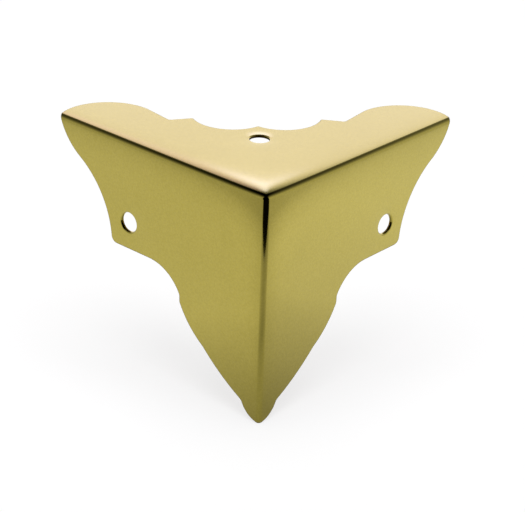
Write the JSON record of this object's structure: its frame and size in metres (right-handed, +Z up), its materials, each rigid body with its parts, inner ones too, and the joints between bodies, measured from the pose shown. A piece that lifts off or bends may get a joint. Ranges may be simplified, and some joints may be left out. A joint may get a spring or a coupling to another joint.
{
  "type": "decorative case corner",
  "caption": "Pressed brass sheet corner that wraps the corner of a case or trunk over its top and two sides, with scalloped edges and a screw hole in each face.",
  "frame": {"origin": "the case's own corner point, where the planes of the fitting's three inner faces meet", "axes": "+Z up out of the case's top; +X out of its right side and -Y out of its front side; the case fills x < 0, y > 0, z < 0"},
  "size_m": [0.0496, 0.0496, 0.0421],
  "materials": {
    "brass": "polished and lacquered"
  },
  "bodies": {
    "root": {"corner_plate": "brass"}
  },
  "joints": []
}
